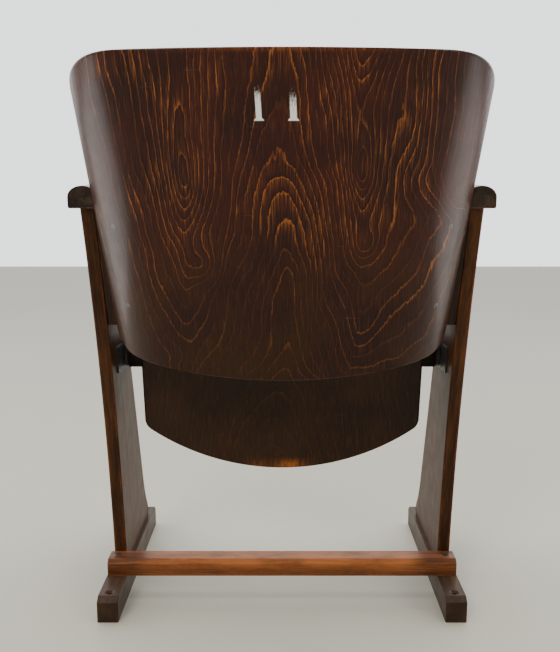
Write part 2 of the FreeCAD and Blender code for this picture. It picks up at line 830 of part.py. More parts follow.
def place_seat_bolts():
    """Round-headed bolts through pan and rail, with a washer and a nut each."""
    bolts = []
    washers = []
    nuts = []
    shank_foot = rail_foot - seat_bolt_washer_wall - seat_bolt_nut_height - seat_bolt_tail
    washer_foot = rail_foot - seat_bolt_washer_wall
    nut_foot = washer_foot - seat_bolt_nut_height
    rise = seat_bolt_head_height
    dome_radius = (seat_bolt_head_radius**2 + rise**2) / (2 * rise)
    for x in seat_bolt_xs:
        shank = Part.makeCylinder(seat_bolt_radius, pan_top - shank_foot, V(x, 0, shank_foot))
        dome = Part.makeSphere(dome_radius, V(x, 0, pan_top + rise - dome_radius))
        reach = 2 * seat_bolt_head_radius
        cap = box(x - reach, x + reach, -reach, reach, pan_top, pan_top + reach)
        bolts.append(shank.fuse(dome.common(cap)).removeSplitter())
        washer = Part.makeCylinder(seat_bolt_washer_radius, seat_bolt_washer_wall, V(x, 0, washer_foot))
        washers.append(washer.cut(shank))
        corners = [
            V(
                x + seat_bolt_nut_flats / math.sqrt(3) * math.cos(math.radians(60 * n)),
                seat_bolt_nut_flats / math.sqrt(3) * math.sin(math.radians(60 * n)),
                nut_foot,
            )
            for n in range(6)
        ]
        edges = [line(a, b) for a, b in zip(corners, corners[1:] + corners[:1])]
        nuts.append(prism(edges, V(0, 0, seat_bolt_nut_height)).cut(shank))
    return bolts, washers, nuts


def make_journal(side, tools):
    """The plate on one end of the rail, with its journal and stop tooth, in the seat's own frame."""
    x0 = rail_half_length
    x1 = journal_face_x
    end = panel_inner_x + journal_reach
    body = cylinder_x(journal_plate_radius, x0, x1, 0, 0)
    body = body.fuse(cylinder_x(journal_radius, x0, end, 0, 0))
    root = journal_plate_radius - tooth_root
    tooth = sector(root, tooth_reach, 180.0 - tooth_half_angle, 180.0 + tooth_half_angle, x0, x1)
    body = body.fuse(tooth).removeSplitter()
    return cut_by(mirrored(body, side), tools)


def make_washer(side):
    body = cylinder_x(washer_radius, journal_face_x, washer_face_x, 0, 0)
    hole = cylinder_x(journal_radius + washer_clearance, journal_face_x - 1, washer_face_x + 1, 0, 0)
    return mirrored(body.cut(hole), side)


def place_journal_screws(side):
    screws = Screws(journal_screw_head_radius, journal_screw_shank_radius, journal_screw_length)
    for spread in (-journal_screw_spread, journal_screw_spread):
        screws.add(V(side * journal_face_x, spread, -journal_screw_drop), V(-side, 0, 0))
    return screws


def build_stand():
    """Every piece that stands still, by node name."""
    nodes = {}
    groups = {
        name: []
        for name in (
            "foot_screws",
            "foot_dowels",
            "armrest_dowels",
            "block_screws",
            "backrest_screws",
            "pivot_plate_screws",
            "stop_pads",
        )
    }
    shell_blank = make_shell_blank()
    shell_holes = []
    stretcher_screws = place_stretcher_screws()
    for name, side in SIDES.items():
        foot_screws = place_foot_screws(side)
        foot_dowels, arm_dowels = place_dowels(side)
        block_screws = place_block_screws(side)
        shell_screws = place_shell_screws(side)
        plate_screws = place_plate_screws(side)
        nodes[f"foot_runner_{name}"] = make_runner(
            side, foot_screws.blanks + foot_dowels + stretcher_screws.blanks
        )
        nodes[f"side_panel_{name}"] = make_panel(
            side, foot_screws.blanks + foot_dowels + arm_dowels + block_screws.blanks + plate_screws.blanks
        )
        nodes[f"armrest_{name}"] = make_armrest(side, arm_dowels)
        nodes[f"back_block_{name}"] = make_block(
            side, shell_blank, block_screws.blanks + shell_screws.blanks
        )
        nodes[f"pivot_plate_{name}"] = make_pivot_plate(side, plate_screws.blanks)
        nodes[f"pivot_bush_{name}"] = make_bush(side)
        shell_holes += shell_screws.blanks
        groups["foot_screws"] += foot_screws.solids
        groups["foot_dowels"] += foot_dowels
        groups["armrest_dowels"] += arm_dowels
        groups["block_screws"] += block_screws.solids
        groups["backrest_screws"] += shell_screws.solids
        groups["pivot_plate_screws"] += plate_screws.solids
        groups["stop_pads"] += make_stop_pads(side)
    nodes["rear_stretcher"] = make_stretcher(stretcher_screws.blanks)
    nodes["backrest_shell"] = cut_by(shell_blank, shell_holes)
    nodes["stretcher_screws"] = Part.makeCompound(stretcher_screws.solids)
    for name, solids in groups.items():
        nodes[name] = Part.makeCompound(solids)
    return nodes


def build_seat():
    """Every piece that tips with the seat, by node name, in the seat's own frame."""
    nodes = {}
    bolts, washers, nuts = place_seat_bolts()
    rail = make_rail_blank()
    journal_screws = []
    thrust_washers = []
    for name, side in SIDES.items():
        screws = place_journal_screws(side)
        nodes[f"pivot_journal_{name}"] = make_journal(side, screws.blanks)
        rail = cut_by(rail, screws.blanks)
        journal_screws += screws.solids
        thrust_washers.append(make_washer(side))
    nodes["seat_pan"] = cut_by(make_pan_blank(), bolts)
    nodes["seat_rail"] = cut_by(rail, bolts)
    nodes["journal_screws"] = Part.makeCompound(journal_screws)
    nodes["thrust_washers"] = Part.makeCompound(thrust_washers)
    nodes["seat_bolts"] = Part.makeCompound(bolts)
    nodes["seat_bolt_washers"] = Part.makeCompound(washers)
    nodes["seat_bolt_nuts"] = Part.makeCompound(nuts)
    return nodes


def main():
    os.makedirs("parts", exist_ok=True)
    nodes = build_stand()
    for name, shape in build_seat().items():
        nodes[name] = to_rest(shape)
    whole = Part.makeCompound(list(nodes.values())).optimalBoundingBox(False, False)
    move = V(-whole.Center.x, -whole.Center.y, -whole.ZMin)
    for name, shape in nodes.items():
        shape.translate(move)
        shape.exportStep(f"parts/{name}.step")
        print(name, len(shape.Solids), round(shape.Volume), shape.isValid())
    print("box", round(whole.XLength, 2), round(whole.YLength, 2), round(whole.ZLength, 2))
    print("moved by", round(move.x, 3), round(move.y, 3), round(move.z, 3))
    print("pivot at", round(pivot_y + move.y, 3), round(pivot_height + move.z, 3), "turns", travel)


main()
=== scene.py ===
import functools
import math

import bmesh
import bpy
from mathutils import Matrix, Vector, noise


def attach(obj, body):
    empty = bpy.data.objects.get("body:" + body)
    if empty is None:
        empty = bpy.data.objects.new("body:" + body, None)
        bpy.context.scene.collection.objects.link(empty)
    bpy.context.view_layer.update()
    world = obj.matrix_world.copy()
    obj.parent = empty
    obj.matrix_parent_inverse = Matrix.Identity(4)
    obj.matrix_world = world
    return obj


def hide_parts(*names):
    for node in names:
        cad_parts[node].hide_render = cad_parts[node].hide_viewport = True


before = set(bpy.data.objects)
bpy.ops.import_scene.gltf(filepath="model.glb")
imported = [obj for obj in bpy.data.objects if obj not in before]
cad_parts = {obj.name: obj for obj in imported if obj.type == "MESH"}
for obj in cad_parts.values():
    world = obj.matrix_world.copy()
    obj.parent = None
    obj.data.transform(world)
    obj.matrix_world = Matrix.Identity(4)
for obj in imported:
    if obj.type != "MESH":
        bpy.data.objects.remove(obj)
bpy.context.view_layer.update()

MM = 0.001
SIDES = {"left": 1, "right": -1}

# All sizes are in mm, as in the solids, and MOVE_Y carries the drawn depths to the part's origin
MOVE_Y = -95.045

# Sizes of the side panels and of what they stand on
PANEL_IN = 260.0
PANEL_OUT = 280.0
PANEL_MID = 270.0
PANEL_ARRIS = 2.2
PANEL_LEAN = math.radians(20.2)
PANEL_BOW = 18.0
PANEL_SUNK = 3.0
WAIST = (-15.0, 360.0)
KNEE_Z = 124.0
TOE_Y = -140.0
TOE_RISE = 22.0
HEEL_Y = 78.0
HEAD_FRONT_Y = -32.0
HEAD_REAR_Y = 218.0
RUNNER_TOP = 40.0
STRETCHER_TOP = 67.0

# Sizes of the armrests
ARM_REAR_Y = 223.5
ARM_REAR_Z = 636.0
ARM_SLOPE = math.radians(2.5)
ARM_OUT = 4.5
ARM_HALF = 20.5
ARM_SIDE = 15.0
ARM_CROWN = 16.0
ARM_CORNER = 3.0
ARM_MIDDLE = 13.0
ARM_LOWEST = 0.15
ARM_LENGTH = 300.0
ARM_STRAIGHT = 276.0
ARM_HOLLOW = 2.2
ARM_NOSE = 22.0
NOSE_CLOSING = 0.62
NOSE_DROP = 0.30

# Sizes of the backrest, whose half width and rear line are given at one height
SHELL_TOP = 823.0
SHELL_BOTTOM = 390.0
GIVEN_Z = 546.0
GIVEN_HALF = 251.2
GIVEN_Y = 273.17
SHELL_LEAN = math.radians(21.0)
SHELL_SLOPE = math.tan(SHELL_LEAN)
SHELL_TAPER = math.tan(math.radians(4.292))
SHELL_WALL = 9.0 / math.cos(SHELL_LEAN)
SHELL_ARRIS = 2.2
SHELL_R = 1100.0
SIDE_R = 125.0
SIDE_TURN = math.radians(62.0)
FOOT_R = 805.0
FOOT_HIGHEST = 520.0
FOOT_CORNER = (28.0, 32.0)
TOP_LOWEST = 700.0
TOP_CORNER = (72.0, 36.0)
CORNER_OUT = 0.5

# Sizes of the seat pan in its own frame, and of its pivot
PIVOT = (-53.545, 398.0)
TIPPED_UP = math.radians(96.0)
PAN_TOP = 18.0
PAN_WALL = 11.0
PAN_ARRIS = 2.4
PAN_WAIST_HALF = 230.0
PAN_REAR_HALF = 227.5
PAN_FRONT_HALF = 250.0
FLARE_FROM = -20.0
FLARE_TO = -95.0
REAR_RUN = 180.0
REAR_Y = 200.0
REAR_R = 376.0
REAR_CORNER = 9.0
REAR_SEARCH = (100.0, 201.0)
FRONT_Y = -195.0
FRONT_BOW = 6.4
FRONT_CORNER = 45.0
FRONT_SIDE_Y = -142.0
FRONT_SEARCH = (-196.0, -100.0)
LIP_Y = -120.0
LIP_R = 130.0
LIP_TURN = math.radians(22.0)

# How finely the curved pieces are drawn
SHELL_GRID = (240, 170)
PAN_GRID = (150, 130)
SHEET_ARRIS_STEPS = 3
BOARD_ARRIS_STEPS = 4
WALL_STEPS = 5
ARM_STEPS = 24
NOSE_STEPS = 12
HOLLOW_STEPS = 5
COLUMN_CROWDING = 0.45
ROW_CROWDING = 0.3
LEAST_MITRE = 0.35


def clamp(value, low=0.0, high=1.0):
    return max(low, min(high, value))


def smooth(value):
    value = clamp(value)
    return value * value * (3 - 2 * value)


def crossing(low, high, passed, steps=26):
    """The value between low and high from which passed holds, found by halving."""
    for _ in range(steps):
        middle = (low + high) / 2
        if passed(middle):
            high = middle
        else:
            low = middle
    return (low + high) / 2


def scaled(colour, share):
    return tuple(min(1.0, value * share) for value in colour)


# Materials

class Tree:
    """Short calls that add nodes to a material."""

    def __init__(self, name):
        self.material = bpy.data.materials.new(name)
        self.material.use_nodes = True
        self.nodes = self.material.node_tree.nodes
        self.links = self.material.node_tree.links
        self.shader = self.nodes["Principled BSDF"]

    def put(self, socket, value):
        if isinstance(value, bpy.types.NodeSocket):
            self.links.new(value, socket)
        else:
            socket.default_value = value

    def math(self, operation, a, b=0.0):
        node = self.nodes.new("ShaderNodeMath")
        node.operation = operation
        self.put(node.inputs[0], a)
        self.put(node.inputs[1], b)
        return node.outputs[0]

    def plus(self, a, b):
        return self.math("ADD", a, b)

    def minus(self, a, b):
        return self.math("SUBTRACT", a, b)

    def larger(self, a, b):
        return self.math("MAXIMUM", a, b)

    def times(self, *values):
        return functools.reduce(lambda a, b: self.math("MULTIPLY", a, b), values)

    def step(self, value, low, high, to_low=0.0, to_high=1.0):
        node = self.nodes.new("ShaderNodeMapRange")
        node.interpolation_type = "SMOOTHSTEP"
        for socket, item in zip(node.inputs, (value, low, high, to_low, to_high)):
            self.put(socket, item)
        return node.outputs[0]

    def mix(self, share, a, b):
        node = self.nodes.new("ShaderNodeMix")
        node.data_type = "RGBA"
        self.put(node.inputs[0], share)
        self.put(node.inputs[6], a if not isinstance(a, tuple) else (*a, 1.0))
        self.put(node.inputs[7], b if not isinstance(b, tuple) else (*b, 1.0))
        return node.outputs[2]

    def place(self):
        return self.nodes.new("ShaderNodeTexCoord").outputs["Object"]

    def attribute(self, name, output="Fac"):
        node = self.nodes.new("ShaderNodeAttribute")
        node.attribute_name = name
        return node.outputs[output]

    def split(self, vector):
        node = self.nodes.new("ShaderNodeSeparateXYZ")
        self.links.new(vector, node.inputs[0])
        return node.outputs

    def join(self, x, y, z):
        node = self.nodes.new("ShaderNodeCombineXYZ")
        for socket, value in zip(node.inputs, (x, y, z)):
            self.put(socket, value)
        return node.outputs[0]

    def turned(self, vector, turn, scale):
        for key, value in (("Rotation", turn), ("Scale", scale)):
            node = self.nodes.new("ShaderNodeMapping")
            self.links.new(vector, node.inputs["Vector"])
            node.inputs[key].default_value = value
            vector = node.outputs[0]
        return vector

    def noise(self, vector, scale, detail=4.0, rough=0.55, distortion=0.0):
        node = self.nodes.new("ShaderNodeTexNoise")
        self.links.new(vector, node.inputs["Vector"])
        node.inputs["Scale"].default_value = scale
        node.inputs["Detail"].default_value = detail
        node.inputs["Roughness"].default_value = rough
        node.inputs["Distortion"].default_value = distortion
        return node.outputs[0]

    def bump(self, height, strength, distance):
        node = self.nodes.new("ShaderNodeBump")
        node.inputs["Strength"].default_value = strength
        node.inputs["Distance"].default_value = distance
        self.links.new(height, node.inputs["Height"])
        return node.outputs[0]

    def edge(self, radius):
        """Zero on a flat face, and more the nearer an arris is."""
        bevel = self.nodes.new("ShaderNodeBevel")
        bevel.samples = 6
        bevel.inputs["Radius"].default_value = radius
        geometry = self.nodes.new("ShaderNodeNewGeometry")
        dot = self.nodes.new("ShaderNodeVectorMath")
        dot.operation = "DOT_PRODUCT"
        self.links.new(bevel.outputs[0], dot.inputs[0])
        self.links.new(geometry.outputs["Normal"], dot.inputs[1])
        return self.minus(1.0, dot.outputs["Value"])


COAT_IOR = 1.24
WOOD_SPECULAR = 0.06


def finish_wood(tree, colour, rough, height, coat, coat_rough, strength, distance):
    """Old polish over the wood, with a low gloss that leaves the stain dark seen straight on."""
    shader = tree.shader
    tree.put(shader.inputs["Base Color"], colour)
    tree.put(shader.inputs["Roughness"], rough)
    shader.inputs["Coat Weight"].default_value = coat
    shader.inputs["Coat Roughness"].default_value = coat_rough
    shader.inputs["Coat IOR"].default_value = COAT_IOR
    shader.inputs["Specular IOR Level"].default_value = WOOD_SPECULAR
    tree.links.new(tree.bump(height, strength, distance), shader.inputs["Normal"])
    return tree.material


def board_wood(name, turn, dark, mid, worn, wear, coat, coat_rough, edge_size=0.004, marks=None):
    """Stained beech with its grain along the local Z of the turned frame, worn at its arrises."""
    tree = Tree(name)
    place = tree.place()
    long = tree.turned(place, turn, (1.0, 1.0, 0.055))
    fibres = tree.noise(long, 420.0, 5.0, 0.62)
    bands = tree.noise(long, 62.0, 3.0, 0.5, 0.6)
    flecks = tree.noise(tree.turned(place, turn, (1.0, 1.0, 0.16)), 900.0, 2.0, 0.5)
    cloud = tree.noise(place, 9.0, 3.0, 0.5)
    tone = tree.plus(tree.times(fibres, 0.45), tree.times(bands, 0.55))
    tone = tree.times(tree.step(tone, 0.38, 0.66), tree.step(cloud, 0.30, 0.72, 0.45, 1.0))
    colour = tree.mix(tone, dark, mid)
    fleck = tree.times(tree.step(flecks, 0.62, 0.72), 0.45)
    colour = tree.mix(fleck, colour, scaled(dark, 0.35))
    rub = tree.noise(tree.turned(place, turn, (1.0, 1.0, 0.35)), 34.0, 6.0, 0.68)
    rubbed = tree.times(tree.step(tree.edge(edge_size), 0.015, 0.20), tree.step(rub, 0.42, 0.62))
    if marks is not None:
        rubbed = tree.larger(rubbed, marks(tree, place, rub))
    worn_tone = tree.mix(fibres, scaled(worn, 0.55), scaled(worn, 1.35))
    colour = tree.mix(tree.times(rubbed, wear), colour, worn_tone)
    rough = tree.step(tree.noise(place, 30.0, 2.0, 0.5), 0.3, 0.7, 0.42, 0.50)
    height = tree.plus(fibres, tree.times(flecks, 0.6))
    return finish_wood(tree, colour, rough, height, coat, coat_rough, 0.12, 0.0002)


def stretcher_marks(tree, place, rub):
    """The middle of the stretcher, where shoes have rubbed the stain away."""
    x, y, z = tree.split(place)
    middle = tree.step(tree.math("ABSOLUTE", x), 0.195, 0.245, 1.0, 0.0)
    patches = tree.step(rub, 0.30, 0.60, 0.30, 1.0)
    high = tree.step(z, 0.050, 0.062, 0.45, 1.0)
    return tree.times(middle, patches, high)


def growth_rings(tree, flat, feather):
    """How far through its ring a place is, from 0 to 1, and a strength for each ring."""
    sway = tree.noise(flat, 26.0, 3.0, 0.55)
    ragged = tree.times(tree.minus(feather, 0.5), 0.42)
    wavering = tree.times(tree.minus(sway, 0.5), 0.65)
    level = tree.plus(tree.attribute("rings"), tree.plus(ragged, wavering))
    white = tree.nodes.new("ShaderNodeTexWhiteNoise")
    white.noise_dimensions = "1D"
    tree.links.new(tree.math("FLOOR", level), white.inputs["W"])
    return tree.math("FRACT", level), white.outputs["Value"]


PLIES = 5.0


def plywood_edges(tree, colour):
    """The colour with the plywood's layers laid over it on the edges, the light layers brightened past the
    wood's own tone as a painted sheen.
    """
    layers = tree.math("PINGPONG", tree.times(tree.attribute("depth"), PLIES), 1.0)
    # The light layer's colour is partly the ply's own tone and partly a painted sheen of light from above
    ply_edge_and_sheen = tree.mix(tree.step(layers, 0.35, 0.65), (0.22, 0.100, 0.045), (0.06, 0.024, 0.012))
    stain = tree.noise(tree.place(), 60.0, 4.0, 0.6)
    ply_edge_and_sheen = tree.mix(tree.step(stain, 0.4, 0.65), ply_edge_and_sheen, (0.035, 0.014, 0.009))
    return tree.mix(tree.times(tree.attribute("ply"), 0.8), colour, ply_edge_and_sheen)


# Each painted stroke's middle, half width and the height up to which it is solid, in metres
STROKES = ((0.0275, 0.0036, 0.368), (-0.0141, 0.0042, 0.356))
STROKE_LOW = 0.352
STROKE_HIGH = 0.401
STROKE_LEAN = 0.05
STROKE_FOOT = 0.0026


def painted_strokes(tree, across, along):
    """Two upright strokes of worn white paint with a wider foot, on the backrest's rear face alone."""
    chips = tree.noise(tree.join(across, tree.times(along, 0.35), 0.0), 520.0, 6.0, 0.75)
    chips = tree.times(tree.minus(chips, 0.5), 4.6)
    marks = []
    for middle, half, solid in STROKES:
        lean = tree.times(tree.minus(along, STROKE_LOW), STROKE_LEAN)
        off = tree.math("ABSOLUTE", tree.minus(tree.minus(across, lean), middle))
        foot = tree.step(along, STROKE_LOW + 0.001, STROKE_LOW + 0.0045, half + STROKE_FOOT, half)
        mark = tree.step(tree.minus(foot, off), -0.0004, 0.0008)
        start = tree.step(along, STROKE_LOW, STROKE_LOW + 0.0012)
        fade = tree.step(along, solid, STROKE_HIGH, 1.3, -1.2)
        keep = tree.step(tree.plus(fade, chips), -0.5, 1.1)
        marks.append(tree.times(mark, start, keep))
    rear_face = tree.step(tree.attribute("depth"), 0.2, 0.4, 0.95, 0.0)
    return tree.times(tree.larger(*marks), rear_face)


def veneer(name, dark, deep, line, low_dark, contrast, strokes=False):
    """Plain sliced veneer: growth lines follow the piece's own rings, with fine fibres along it."""
    tree = Tree(name)
    across, along, bold = tree.split(tree.attribute("veneer", "Vector"))
    flat = tree.join(across, along, 0.0)
    fibres = tree.noise(tree.join(across, tree.times(along, 0.045), 0.0), 620.0, 5.0, 0.62)
    feather = tree.noise(tree.join(across, tree.times(along, 0.10), 0.3), 330.0, 3.0, 0.7)
    part, strength = growth_rings(tree, flat, feather)

    patch = tree.noise(flat, 11.0, 2.0, 0.5, 0.4)
    broad = tree.times(tree.step(patch, 0.46, 0.62), tree.step(along, 0.12, 0.26))
    broad = tree.times(tree.larger(broad, bold), 0.85)
    soft_side = tree.times(tree.math("POWER", part, 2.0), tree.step(fibres, 0.44, 0.58))
    crisp = tree.step(part, 0.82, 0.965)
    fall = tree.step(part, 0.972, 1.0, 1.0, 0.0)
    band = tree.times(tree.plus(tree.times(soft_side, broad), crisp), fall)
    presence = tree.times(
        tree.step(strength, 0.05, 0.95, 0.22, 1.0),
        tree.step(patch, 0.32, 0.58, 0.30, 1.0),
        tree.step(along, 0.03, 0.28, 0.55, 1.0),
    )
    presence = tree.larger(presence, bold)
    band = tree.times(band, presence, contrast, tree.step(fibres, 0.38, 0.62, 0.40, 1.0))
    band = tree.math("MINIMUM", band, 1.0)

    base = tree.mix(tree.step(along, 0.05, 0.30), low_dark, dark)
    cloud = tree.noise(flat, 8.0, 3.0, 0.55)
    base = tree.mix(tree.step(cloud, 0.32, 0.66), base, deep)
    past_line = tree.times(tree.step(part, 0.0, 0.35, 0.55, 0.0), presence)
    base = tree.mix(past_line, base, scaled(deep, 0.4))
    base = tree.mix(tree.times(tree.step(fibres, 0.48, 0.70), 0.30), base, scaled(line, 0.45))
    colour = tree.mix(band, base, line)
    pores = tree.noise(tree.join(across, tree.times(along, 0.09), 0.7), 1500.0, 2.0, 0.5)
    colour = tree.mix(tree.times(tree.step(pores, 0.60, 0.70), 0.5), colour, scaled(deep, 0.35))

    rub = tree.noise(flat, 48.0, 6.0, 0.7)
    arrises = tree.times(tree.step(tree.edge(0.0035), 0.02, 0.25), tree.step(rub, 0.44, 0.60), 0.75)
    patches = tree.times(tree.step(feather, 0.30, 0.66), tree.attribute("worn"))
    colour = tree.mix(tree.larger(arrises, patches), colour, scaled(line, 1.5))
    colour = plywood_edges(tree, colour)
    rough = tree.step(tree.noise(flat, 60.0, 4.0, 0.6), 0.3, 0.7, 0.32, 0.50)
    if strokes:
        paint = painted_strokes(tree, across, along)
        colour = tree.mix(paint, colour, (0.66, 0.66, 0.62))
        rough = tree.larger(rough, tree.times(paint, 0.7))
    scratch = tree.noise(tree.join(tree.times(across, 0.08), along, 0.2), 190.0, 2.0, 0.4)
    colour = tree.mix(tree.times(tree.step(scratch, 0.73, 0.76), 0.04), colour, (0.30, 0.25, 0.20))
    height = tree.plus(tree.times(fibres, 0.8), tree.times(band, 0.5))
    return finish_wood(tree, colour, rough, height, 0.85, 0.20, 0.18, 0.0003)


def metal(name, colour, worn, rough, metallic=1.0, edge_size=0.0012, wear=0.6, grime=0.5):
    """Metal, or rubber where metallic is 0, clouded with grime and rubbed bare at its arrises."""
    tree = Tree(name)
    cloud = tree.noise(tree.place(), 180.0, 5.0, 0.6)
    shade = tree.mix(tree.times(tree.step(cloud, 0.35, 0.65), grime), colour, scaled(colour, 0.4))
    rub = tree.times(tree.step(tree.edge(edge_size), 0.02, 0.25), tree.step(cloud, 0.40, 0.60), wear)
    tree.put(tree.shader.inputs["Base Color"], tree.mix(rub, shade, worn))
    roughness = tree.step(cloud, 0.3, 0.7, rough * 0.75, min(1.0, rough * 1.3))
    tree.put(tree.shader.inputs["Roughness"], roughness)
    tree.shader.inputs["Metallic"].default_value = metallic
    tree.links.new(tree.bump(cloud, 0.12, 0.0002), tree.shader.inputs["Normal"])
    return tree.material


WORN = (0.30, 0.085, 0.018)
ALONG_X = (0.0, math.radians(90.0), 0.0)
ALONG_Y = (math.radians(90.0), 0.0, 0.0)
ALONG_Z = (0.0, 0.0, 0.0)
LEANING = (math.radians(14.0), 0.0, 0.0)

MATERIALS = {
    "panel": board_wood(
        "panel_wood", LEANING, (0.022, 0.0085, 0.0040), (0.080, 0.030, 0.009), WORN,
        wear=0.95, coat=0.22, coat_rough=0.28, edge_size=0.007,
    ),
    "runner": board_wood(
        "runner_wood", ALONG_Y, (0.022, 0.012, 0.007), (0.066, 0.034, 0.018), WORN,
        wear=0.35, coat=0.30, coat_rough=0.25,
    ),
    "arm": board_wood(
        "arm_wood", ALONG_Y, (0.018, 0.012, 0.009), (0.060, 0.040, 0.026), WORN,
        wear=0.35, coat=0.65, coat_rough=0.10,
    ),
    "stretcher": board_wood(
        "stretcher_wood", ALONG_X, (0.050, 0.017, 0.007), (0.175, 0.058, 0.017), (0.34, 0.105, 0.026),
        wear=0.80, coat=0.5, coat_rough=0.16, edge_size=0.005, marks=stretcher_marks,
    ),
    "rail": board_wood(
        "rail_wood", ALONG_X, (0.006, 0.004, 0.0035), (0.018, 0.010, 0.007), WORN,
        wear=0.2, coat=0.4, coat_rough=0.2,
    ),
    "block": board_wood(
        "block_wood", LEANING, (0.014, 0.007, 0.005), (0.045, 0.020, 0.011), WORN,
        wear=0.35, coat=0.55, coat_rough=0.12,
    ),
    "back": veneer(
        "back_veneer", (0.034, 0.0058, 0.0034), (0.015, 0.0034, 0.0026), (0.225, 0.068, 0.013),
        (0.024, 0.0088, 0.0016), contrast=1.05, strokes=True,
    ),
    "seat": veneer(
        "seat_veneer", (0.026, 0.0095, 0.0030), (0.014, 0.0056, 0.0022), (0.24, 0.068, 0.009),
        (0.024, 0.0095, 0.0028), contrast=0.20,
    ),
    "iron": metal(
        "black_iron", (0.012, 0.012, 0.012), (0.25, 0.24, 0.23), 0.42, metallic=0.0, wear=0.5, grime=0.3,
    ),
    "brass": metal("bush_brass", (0.50, 0.34, 0.13), (0.75, 0.55, 0.25), 0.35),
    "dark_steel": metal("dark_steel", (0.13, 0.11, 0.10), (0.45, 0.42, 0.38), 0.45),
    "bright_steel": metal("bright_steel", (0.42, 0.42, 0.41), (0.7, 0.7, 0.68), 0.32),
    "rubber": metal(
        "black_rubber", (0.016, 0.016, 0.016), (0.03, 0.03, 0.03), 0.8,
        metallic=0.0, edge_size=0.001, wear=0.2, grime=0.4,
    ),
    "dowel": board_wood(
        "dowel_wood", ALONG_Z, (0.20, 0.12, 0.07), (0.38, 0.24, 0.14), WORN,
        wear=0.1, coat=0.0, coat_rough=0.3,
    ),
}


# Mesh helpers

def new_piece(name, body, node, material, points, faces, layers=None):
    """A piece of the scene in place of a node, with layers of values on its points."""
    mesh = bpy.data.meshes.new(name)
    mesh.from_pydata([(p[0] * MM, p[1] * MM, p[2] * MM) for p in points], [], faces)
    mesh.validate()
    for key, values in (layers or {}).items():
        if isinstance(values[0], tuple):
            layer = mesh.attributes.new(key, "FLOAT_VECTOR", "POINT")
            layer.data.foreach_set("vector", [item for value in values for item in value])
        else:
            layer = mesh.attributes.new(key, "FLOAT", "POINT")
            layer.data.foreach_set("value", values)
    work = bmesh.new()
    work.from_mesh(mesh)
    bmesh.ops.recalc_face_normals(work, faces=work.faces)
    work.to_mesh(mesh)
    work.free()
    for polygon in mesh.polygons:
        polygon.use_smooth = True
    mesh.materials.append(MATERIALS[material])
    piece = bpy.data.objects.new(name, mesh)
    bpy.context.scene.collection.objects.link(piece)
    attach(piece, body)
    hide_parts(node)
    return piece


def flatten(piece):
    """Keep broad faces flat to the eye beside their rounded arrises."""
    modifier = piece.modifiers.new("normals", "WEIGHTED_NORMAL")
    modifier.keep_sharp = True
    modifier.weight = 100


def quadratic(a, b, c, t):
    return tuple((1 - t) ** 2 * p + 2 * t * (1 - t) * q + t * t * r for p, q, r in zip(a, b, c))


def curve_height(a, b, c, x):
    """The second coordinate of a smooth corner at the first coordinate x."""
    rising = c[0] > a[0]
    share = crossing(0.0, 1.0, lambda t: (quadratic(a, b, c, t)[0] < x) != rising, 30)
    return quadratic(a, b, c, share)[1]


def rounded_profile(low, high, arris, arris_steps, wall_steps):
    """Pairs of inset and depth from one face to the other, round both arrises."""
    turns = [math.radians(90.0 / arris_steps * k) for k in range(arris_steps + 1)]
    profile = [(arris * (1 - math.sin(a)), low + arris * (1 - math.cos(a))) for a in turns]
    for k in range(1, wall_steps):
        profile.append((0.0, low + arris + (high - low - 2 * arris) * k / wall_steps))
    profile += [(arris * (1 - math.sin(a)), high - arris * (1 - math.cos(a))) for a in reversed(turns)]
    return profile


def bridge(loops):
    """The faces between each closed loop of points and the next."""
    faces = []
    count = len(loops[0])
    for a, b in zip(loops, loops[1:]):
        for k in range(count):
            n = (k + 1) % count
            faces.append((a[k], a[n], b[n], b[k]))
    return faces


def sheet(name, body, node, material, form, grid_size, arris, rings, worn, bold=None):
    """A curved sheet with true thickness and rounded arrises, its grid closer towards its four edges."""
    wall = form.wall
    limits = functools.lru_cache(None)(form.limits)
    columns, rows = grid_size
    profile = rounded_profile(0.0, wall, arris, SHEET_ARRIS_STEPS, WALL_STEPS)
    fractions = []
    for i in range(columns + 1):
        t = 2 * i / columns - 1
        fractions.append((1 - COLUMN_CROWDING) * t + COLUMN_CROWDING * math.sin(math.pi * t / 2))
    grades = []
    for j in range(rows + 1):
        t = j / rows
        grades.append((1 - ROW_CROWDING) * t + ROW_CROWDING * (1 - math.cos(math.pi * t)) / 2)
    points = []
    layers = {"veneer": [], "rings": [], "ply": [], "depth": [], "worn": []}

    def add(f, grade, shrink, depth):
        low, high = limits(f, shrink)
        v = low + (high - low) * grade
        points.append(form.point(f, v, depth, shrink))
        s, t = form.flat(f, v, shrink)
        broad = bold(s, t) if bold and depth < wall / 2 else 0.0
        layers["veneer"].append((s * MM, t * MM, broad))
        layers["rings"].append(rings(s, t, depth > wall / 2))
        layers["ply"].append(1.0 if arris * 0.5 < depth < wall - arris * 0.5 else 0.0)
        layers["depth"].append(depth / wall)
        layers["worn"].append(worn(s, t, depth))
        return len(points) - 1

    faces = []
    grids = []
    for shrink, depth in (profile[0], profile[-1]):
        grids.append([[add(f, g, shrink, depth) for g in grades] for f in fractions])
    for side, grid in enumerate(grids):
        for i in range(columns):
            for j in range(rows):
                quad = (grid[i][j], grid[i + 1][j], grid[i + 1][j + 1], grid[i][j + 1])
                faces.append(quad if side else quad[::-1])
    around = [(i, 0) for i in range(columns)]
    around += [(columns, j) for j in range(rows)]
    around += [(i, rows) for i in range(columns, 0, -1)]
    around += [(0, j) for j in range(rows, 0, -1)]
    loops = [[grids[0][i][j] for i, j in around]]
    for shrink, depth in profile[1:-1]:
        loops.append([add(fractions[i], grades[j], shrink, depth) for i, j in around])
    loops.append([grids[1][i][j] for i, j in around])
    faces += bridge(loops)
    new_piece(name, body, node, material, points, faces, layers)


